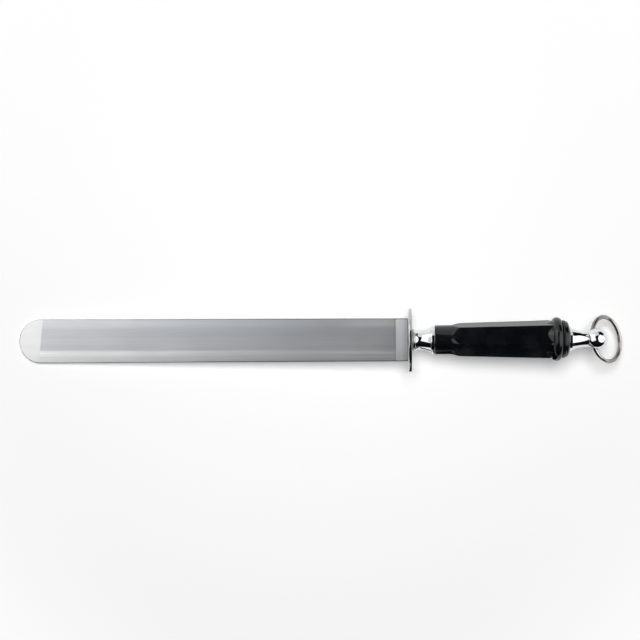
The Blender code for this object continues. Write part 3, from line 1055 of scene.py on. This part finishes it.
@dataclass(kw_only=True)
class Grip(TurnedPart):
    """The moulded grip: a round neck, a tapered six-sided body and a round bead, with the clamp inside."""

    length: float = 0.0943
    neck_diameter: float = 0.0219
    neck_length: float = 0.0130
    neck_rounding: float = 0.0005
    flats_at_neck: float = 0.0221
    flats_at_bead: float = 0.0256
    shoulder_angle: float = math.radians(21)
    shoulder_softness: float = 0.0006
    roll: float = math.radians(15)
    bead_diameter: float = 0.0330
    bead_length: float = 0.0072
    bead_foot_diameter: float = 0.0266
    run_out: float = 0.0026
    ramp_length: float = 0.0040
    ramp_angle: float = math.radians(17)
    turned_end_angle: float = math.radians(18)
    turned_end_diameter: float = 0.0284
    core_diameter: float = 0.0190
    core_depth: float = 0.0150
    corner_softness: float = 0.010
    arch_softness: float = 0.00025
    cove_softness: float = 0.0012
    arch_before_neck_end: float = 0.0020
    arch_past_neck_end: float = 0.0095
    cove_before_bead: float = 0.0070
    sides: int = 6
    segments: int = 288

    @property
    def neck_end(self) -> float:
        """The station where the neck gives way to the flats."""
        return self.front + self.neck_length

    @property
    def bead_front(self) -> float:
        """The station where the bead begins."""
        return self.rear - self.bead_length

    def flats(self, x: float, turn: float) -> float:
        """The radius of the tapered six-sided body, its corners rounded, with the ramp up to the bead.

        Args:
            x: Station along the axis.
            turn: Angle round the axis from straight up.

        Returns:
            The radius.
        """
        taper = (self.flats_at_bead - self.flats_at_neck) / (self.bead_front - self.run_out - self.neck_end)
        apothem = (self.flats_at_neck + taper * (x - self.neck_end)) / 2
        side = math.tau / self.sides
        off = (turn - self.roll + side / 2) % side - side / 2
        reach = soft_most(math.cos(off), math.cos(side - abs(off)), self.corner_softness)
        past_ramp = x - (self.bead_front - self.ramp_length)
        ramp = self.flats_at_bead / 2 + past_ramp * math.tan(self.ramp_angle)
        return soft_most(apothem / reach, ramp, self.arch_softness)

    def blank(self, x: float) -> float:
        """The radius of the turned blank, before its flats and its bead.

        Args:
            x: Station along the axis.

        Returns:
            The radius.
        """
        neck = self.neck_diameter / 2
        from_front = min(max((x - self.front) / self.neck_rounding, 0.0), 1.0)
        eased = neck - self.neck_rounding * (1 - math.sqrt(1 - (1 - from_front) ** 2))
        cone = neck + (x - self.neck_end) * math.tan(self.shoulder_angle)
        to_bead = max(self.bead_front - x, 0.0)
        turned_end = self.turned_end_diameter / 2 + to_bead * math.tan(self.turned_end_angle)
        return min(soft_most(eased, cone, self.shoulder_softness), turned_end)

    def radius(self, x: float, turn: float) -> float:
        """The radius of the finished grip.

        Args:
            x: Station along the axis.
            turn: Angle round the axis from straight up.

        Returns:
            The radius.
        """
        body = soft_least(self.blank(x), self.flats(x, turn), self.arch_softness)
        if x <= self.bead_front:
            return body
        foot, crest = self.bead_foot_diameter / 2, self.bead_diameter / 2
        off = (x - self.rear + self.bead_length / 2) / (self.bead_length / 2)
        round_bead = foot + (crest - foot) * math.sqrt(max(1 - off * off, 0.0))
        return round_bead if off > 0 else soft_most(body, round_bead, self.cove_softness)

    def stations(self) -> list[float]:
        """Stations along the grip, close together where its shape changes.

        Returns:
            The stations in order.
        """
        ends_and_steps = (
            (self.front + self.neck_rounding, 8),
            (self.neck_end - self.arch_before_neck_end, 10),
            (self.neck_end + self.arch_past_neck_end, 60),
            (self.bead_front - self.cove_before_bead, 60),
            (self.rear, 110),
        )
        placed = [self.front]
        for end, steps in ends_and_steps:
            start = placed[-1]
            placed += [start + (end - start) * (step + 1) / steps for step in range(steps)]
        return placed

    def build(self) -> None:
        """Builds the grip and finishes the washer and nut inside it."""
        core = self.core_diameter / 2
        floor = self.rear - self.core_depth
        section = Section()
        section.corner(self.front, self.bore)
        section.curve([(x, self.neck_diameter / 2) for x in self.stations()])
        section.corner(self.rear, core).corner(floor, core).corner(floor, self.bore)
        shape = turned(section.traced(), self.segments)
        for vert in shape.verts:
            across = Vector((0, vert.co.y, vert.co.z))
            if across.length > core + self.neck_rounding:
                radius = self.radius(vert.co.x, math.atan2(vert.co.y, vert.co.z))
                vert.co.yz = (across.normalized() * radius).yz
        self.add("grip", shape, GRIP_BLACK)
        self.keep("tang_washer", ZINC)
        self.keep("tang_nut", ZINC)


@dataclass(kw_only=True)
class EndCap(TurnedPart):
    """The stepped dome behind the grip, with a spigot that plugs its core."""

    spigot_radius: float
    length: float = 0.0050
    diameter: float = 0.0287
    band_length: float = 0.0026
    band_end_diameter: float = 0.0274
    crown_diameter: float = 0.0190
    spigot_length: float = 0.0040
    groove_place: float = 0.0012
    groove_width: float = 0.0006
    groove_depth: float = 0.0004
    rounding: float = 0.0003
    round_steps: int = 6
    dome_steps: int = 20

    def dome(self) -> list[Point]:
        """Points from the end of the band over the dome to its crown.

        Returns:
            Stations and radii.
        """
        start, crown = self.front + self.band_length, self.crown_diameter / 2
        run, drop = self.rear - start, self.band_end_diameter / 2 - crown
        turns = [math.pi / 2 * step / self.dome_steps for step in range(self.dome_steps + 1)]
        return [(start + run * math.sin(turn), crown + drop * math.cos(turn)) for turn in turns]

    def build(self) -> None:
        """Builds the cap."""
        plug = self.front - self.spigot_length
        outer = self.diameter / 2
        groove = self.front + self.groove_place
        half, lip = self.groove_width / 2, self.rounding / 2
        section = Section(self.round_steps)
        section.corner(plug, self.bore).corner(plug, self.spigot_radius)
        section.corner(self.front, self.spigot_radius).corner(self.front, outer, self.rounding)
        section.corner(groove - half, outer, lip).corner(groove, outer - self.groove_depth, lip)
        section.corner(groove + half, outer, lip)
        section.curve(self.dome()).corner(self.rear, self.bore)
        self.add("end_cap", turned(section.traced()), CAP_BLACK)


@dataclass(kw_only=True)
class Pommel(TurnedPart):
    """The collar and hollow trumpet that hold the swivel, with the swivel's washer inside."""

    shank_bore: float
    length: float = 0.0141
    collar_diameter: float = 0.0178
    collar_length: float = 0.0020
    foot_diameter: float = 0.0168
    neck_diameter: float = 0.0114
    end_wall: float = 0.0030
    rounding: float = 0.0003

    def build(self) -> None:
        """Builds the pommel and finishes the washer inside it."""
        wall = self.rear - self.end_wall
        collar, collar_end = self.collar_diameter / 2, self.front + self.collar_length
        neck = self.neck_diameter / 2
        section = Section()
        section.corner(wall, self.shank_bore).corner(wall, self.bore).corner(self.front, self.bore)
        section.corner(self.front, collar, self.rounding).corner(collar_end, collar, self.rounding)
        section.curve(flare((self.rear, neck), (collar_end, self.foot_diameter / 2))[:0:-1])
        section.corner(self.rear, neck, self.rounding / 2).corner(self.rear, self.shank_bore)
        self.add("pommel", turned(section.traced()), CHROME)
        self.keep("swivel_washer", BRASS)


@dataclass(kw_only=True)
class Swivel(SubAssembly):
    """The drilled ball on its shank. Its drawing axes have their origin at the ball's centre."""

    flat: float
    head_rear: float
    diameter: float = 0.0164
    shank_diameter: float = 0.0040
    head_diameter: float = 0.0070
    head_thickness: float = 0.0014
    hole_offset: float = 0.0029
    hole_skew: float = math.radians(5)
    hole_clearance: float = 0.0004
    steps: int = 64
    segments: int = 128
    hole_segments: int = 96

    def hole(self) -> Shape:
        """The hourglass hole along Y that the ring swings in.

        Returns:
            The closed drill.
        """
        reach = self.diameter / 2 + self.hole_clearance
        walls = []
        for step in range(self.steps + 1):
            along = reach * (2 * step / self.steps - 1)
            bow = RING_MEAN_RADIUS - math.sqrt(RING_MEAN_RADIUS**2 - along**2)
            walls.append((along, WIRE_RADIUS + self.hole_clearance + bow))
        shape = turned([(-reach, 0), *walls, (reach, 0)], self.hole_segments)
        across = Matrix.Rotation(math.pi / 2 + self.hole_skew, 3, "Z")
        bmesh.ops.rotate(shape, verts=shape.verts, matrix=across)
        bmesh.ops.translate(shape, verts=shape.verts, vec=(-self.hole_offset, 0, 0))
        return shape

    def build(self) -> None:
        """Builds the drilled ball with its shank and head."""
        radius = self.diameter / 2
        shank, head = self.shank_diameter / 2, self.head_diameter / 2
        head_front = self.head_rear - self.head_thickness
        section = Section()
        section.corner(head_front, 0).corner(head_front, head).corner(self.head_rear, head)
        section.corner(self.head_rear, shank).corner(self.flat, shank)
        start = math.acos(self.flat / radius)
        turns = [start * (1 - step / self.steps) for step in range(self.steps)]
        section.curve([(radius * math.cos(turn), radius * math.sin(turn)) for turn in turns])
        section.corner(radius, 0)
        shape = combined(turned(section.traced(), self.segments), self.hole(), Cut.DRILL)
        self.add("swivel_ball", shape, CHROME, Body.SWIVEL)


@dataclass(kw_only=True)
class HangingRing(SubAssembly):
    """The wire ring through the ball, drawn from the ring's centre with Z across it."""

    ring_segments: int = 192
    wire_segments: int = 32

    def build(self) -> None:
        """Builds the ring."""
        shape = bmesh.new()
        stand = Matrix.Translation((RING_MEAN_RADIUS, 0, 0)) @ Matrix.Rotation(math.pi / 2, 4, "X")
        circle = {"segments": self.wire_segments, "radius": WIRE_RADIUS, "matrix": stand}
        section = bmesh.ops.create_circle(shape, **circle)["verts"]
        edges = list({edge for vert in section for edge in vert.link_edges})
        spin = {"cent": (0, 0, 0), "axis": (0, 0, 1), "angle": math.tau, "steps": self.ring_segments}
        bmesh.ops.spin(shape, geom=section + edges, use_merge=True, **spin)
        bmesh.ops.recalc_face_normals(shape, faces=shape.faces)
        self.add("hanging_ring", shape, RING_STEEL, Body.RING)


# Studio


class PanelShape(Enum):
    """The outlines that a lamp panel can have."""

    OBLONG = "RECTANGLE"
    OVAL = "ELLIPSE"


@dataclass(frozen=True)
class Softbox:
    """A flat lamp panel that faces the table's middle.

    A mirrored panel shows in reflections and adds no light to dull surfaces. Any other one does the opposite.
    """

    name: str
    centre: Vector
    width: float
    height: float
    shape: PanelShape
    brightness: float
    spin: float = 0.0
    mirrored: bool = True

    def build(self) -> None:
        """Hangs the panel in its place."""
        away = self.centre.normalized()
        rise = (Vector((0, 0, 1)) - away * away.z).normalized()
        turn = Matrix((rise.cross(away), rise, away)).transposed() @ Matrix.Rotation(self.spin, 3, "Z")
        lamp = bpy.data.lights.new(self.name, "AREA")
        lamp.shape = self.shape.value
        lamp.size = self.width
        lamp.size_y = self.height
        lamp.energy = self.brightness * math.pi * self.width * self.height
        panel = bpy.data.objects.new(self.name, lamp)
        panel.matrix_world = Matrix.Translation(self.centre) @ turn.to_4x4()
        panel.visible_camera = False
        panel.visible_glossy = self.mirrored
        panel.visible_diffuse = not self.mirrored
        bpy.context.scene.collection.objects.link(panel)


@dataclass(frozen=True)
class Flag:
    """A dark card, standing on the table or lying on it, that shows only in what the steel mirrors."""

    name: str
    foot: Vector
    width: float
    height: float
    lying: bool = False
    lying_lift: float = 0.001
    colour: Colour = (0.004, 0.004, 0.005)
    roughness: float = 0.9

    def build(self) -> None:
        """Lays the card down, or stands it so that it faces the table's middle."""
        shape = bmesh.new()
        bmesh.ops.create_grid(shape, x_segments=1, y_segments=1, size=0.5)
        bmesh.ops.scale(shape, vec=(self.width, self.height, 1), verts=shape.verts)
        facing = math.atan2(self.foot.y, self.foot.x) + math.pi / 2
        stand = Euler((0, 0, 0) if self.lying else (math.pi / 2, 0, facing)).to_matrix().to_4x4()
        lift = Vector((0, 0, self.lying_lift if self.lying else self.height / 2))
        bmesh.ops.transform(shape, matrix=Matrix.Translation(self.foot + lift) @ stand, verts=shape.verts)
        card = as_object(self.name, shape)
        finish = bpy.data.materials.new(self.name)
        finish.use_nodes = True
        inputs = finish.node_tree.nodes["Principled BSDF"].inputs
        inputs["Base Color"].default_value = opaque(self.colour)
        inputs["Roughness"].default_value = self.roughness
        inputs["Specular IOR Level"].default_value = 0.0
        card.data.materials.append(finish)
        card.visible_camera = False
        card.visible_diffuse = False
        card.visible_shadow = False


@dataclass
class Studio:
    """The white table, the dim room with its pale skirt, the lamps, the dark cards and the camera."""

    camera_place: Vector = field(default_factory=lambda: Vector((0.0008, 0.0153, 0.9)))
    camera_roll: float = math.radians(-0.32)
    lens: float = 65.2
    table_size: float = 40.0
    table_colour: Colour = (0.90, 0.90, 0.90)
    table_lift: float = 0.27
    lit_reach: float = 0.2
    room_light: float = 0.010
    skirt_height: float = 0.20

    def softboxes(self) -> list[Softbox]:
        """The lamps: one overhead that lights the table, and three panels that show only in reflections.

        Returns:
            The panels.
        """
        oblong, oval = PanelShape.OBLONG, PanelShape.OVAL
        slant = math.radians(32)
        return [
            Softbox("key_light", Vector((0.0, 0.25, 1.30)), 0.62, 0.62, oval, 11.9, mirrored=False),
            Softbox("left_softbox", Vector((-0.70, 0.24, 0.74)), 1.60, 1.15, oblong, 1.2, spin=slant),
            Softbox("right_softbox", Vector((0.72, 0.06, 0.64)), 1.20, 1.25, oval, 1.2),
            Softbox("rear_softbox", Vector((-0.34, 1.05, 0.68)), 1.86, 1.22, oblong, 0.78),
        ]

    def flags(self) -> list[Flag]:
        """The dark cards: two stand below the picture and past its corner; two lie by the grip and the guard
        and put painted shade into their reflections.

        Returns:
            The cards.
        """
        return [
            Flag("front_flag", Vector((0.0, -0.50, 0.0)), 2.4, 0.45),
            Flag("corner_flag", Vector((0.62, 0.50, 0.0)), 0.40, 0.46),
            # These two lying cards are painted shade: they darken the table where the grip and the guard
            # mirror it.
            Flag("grip_shade_flag", Vector((0.131, -0.155, 0.0)), 0.084, 0.290, lying=True),
            Flag("guard_shade_flag", Vector((0.0695, -0.260, 0.0)), 0.012, 0.480, lying=True),
        ]

    def room(self) -> None:
        """A dim room with a pale skirt along the horizon."""
        world = bpy.data.worlds.new("studio_room")
        world.use_nodes = True
        bpy.context.scene.world = world
        graph = Graph(world.node_tree)
        direction = graph.add("ShaderNodeTexCoord").outputs["Generated"]
        shade = graph.remap(graph.parts(direction)["Z"], 0.0, self.skirt_height)
        colour = graph.mix(shade, WHITE, (self.room_light,) * 3)
        graph.feed(world.node_tree.nodes["Background"], "Color", colour)

    def table(self) -> None:
        """A white table that takes the shadow near the steel and glows evenly white beyond."""
        shape = bmesh.new()
        bmesh.ops.create_grid(shape, x_segments=1, y_segments=1, size=self.table_size / 2)
        table = as_object("table", shape)
        finish = bpy.data.materials.new("white_table")
        finish.use_nodes = True
        graph = Graph(finish.node_tree)
        reach = graph.length(graph.add("ShaderNodeTexCoord").outputs["Object"])
        beyond = graph.remap(reach, self.lit_reach, self.lit_reach * 2)
        rays = graph.add("ShaderNodeLightPath").outputs
        mirrored = graph.math("MAXIMUM", rays["Is Glossy Ray"], rays["Is Transmission Ray"])
        seen = graph.math("MAXIMUM", rays["Is Camera Ray"], mirrored)
        paper = graph.add("ShaderNodeBsdfDiffuse", {"Color": opaque(self.table_colour)})
        strength = graph.scaled(seen, self.table_lift)
        lift = graph.add("ShaderNodeEmission", {"Color": opaque(WHITE), "Strength": strength})
        near = graph.add("ShaderNodeAddShader", {0: paper.outputs[0], 1: lift.outputs[0]})
        glow = graph.add("ShaderNodeEmission", {"Color": opaque(WHITE)})
        both = graph.add("ShaderNodeMixShader", {0: beyond, 1: near.outputs[0], 2: glow.outputs[0]})
        graph.feed(finish.node_tree.nodes["Material Output"], "Surface", both.outputs[0])
        table.data.materials.append(finish)

    def camera(self) -> None:
        """The camera, straight above the table."""
        lens = bpy.data.cameras.new("camera")
        lens.lens = self.lens
        made = bpy.data.objects.new("camera", lens)
        made.location = self.camera_place
        made.rotation_euler = (0, 0, self.camera_roll)
        bpy.context.scene.collection.objects.link(made)
        bpy.context.scene.camera = made

    def build(self) -> None:
        """Builds the studio."""
        bpy.context.scene.view_settings.view_transform = "Standard"
        lamps, cards = self.softboxes(), self.flags()
        for light_shaper in (*lamps, *cards):
            light_shaper.build()
        self.room()
        self.table()
        self.camera()
        log.info("studio: table, camera, %d lamps and %d cards", len(lamps), len(cards))


def tool_place(ball_centre: float) -> Place:
    """Finds the steel's axis from the frame's swivel joint.

    Args:
        ball_centre: Station of the ball's centre, counted from the blade's shoulder.

    Returns:
        The drawing axes: X along the steel towards its ring, Y across the blade.
    """
    joint = next(joint for joint in frame["joints"] if joint["name"] == "ball_swivel")
    along = Vector(joint["axis"]).normalized()
    up = along.cross(Vector((0, 1, 0))).normalized()
    turn = Matrix((along, up.cross(along), up)).transposed()
    return Place(Vector(joint["pos_m"]) - along * ball_centre, turn)


def main() -> None:
    """Builds the steel from tip to ring, then the studio round it."""
    logging.basicConfig(level=logging.INFO, format="%(message)s")
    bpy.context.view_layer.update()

    guard = Guard(front=SEAT_GAP)
    bolster = Bolster(front=guard.rear + SEAT_GAP)
    grip = Grip(front=bolster.rear + SEAT_GAP)
    cap = EndCap(front=grip.rear + SEAT_GAP, spigot_radius=grip.core_diameter / 2 - FIT)
    pommel = Pommel(front=cap.rear + SEAT_GAP, shank_bore=Swivel.shank_diameter / 2 + FIT)
    blade = Blade(tang_end=pommel.front + TANG_IN_POMMEL)
    ball_front = pommel.rear + SEAT_GAP
    ball_centre = ball_front + math.sqrt((Swivel.diameter / 2) ** 2 - (pommel.neck_diameter / 2) ** 2)
    head_rear = pommel.rear - pommel.end_wall - WASHER_THICKNESS - 2 * SEAT_GAP

    axis = tool_place(ball_centre)
    for part in (blade, guard, bolster, grip, cap, pommel):
        part.place = axis
        part.build()
    ball_place = axis.moved(Vector((ball_centre, 0, 0)), Matrix.Rotation(SWIVEL_ROLL, 3, "X"))
    swivel = Swivel(place=ball_place, flat=ball_front - ball_centre, head_rear=head_rear - ball_centre)
    swivel.build()
    hung = Euler((0, RING_SWING, swivel.hole_skew)).to_matrix()
    hole_place = ball_place.moved(Vector((-swivel.hole_offset, 0, 0)), hung)
    ring_place = hole_place.moved(Vector((RING_MEAN_RADIUS, 0, 0)), Matrix.Identity(3))
    HangingRing(place=ring_place).build()
    Studio().build()


if __name__ == "__main__":
    main()
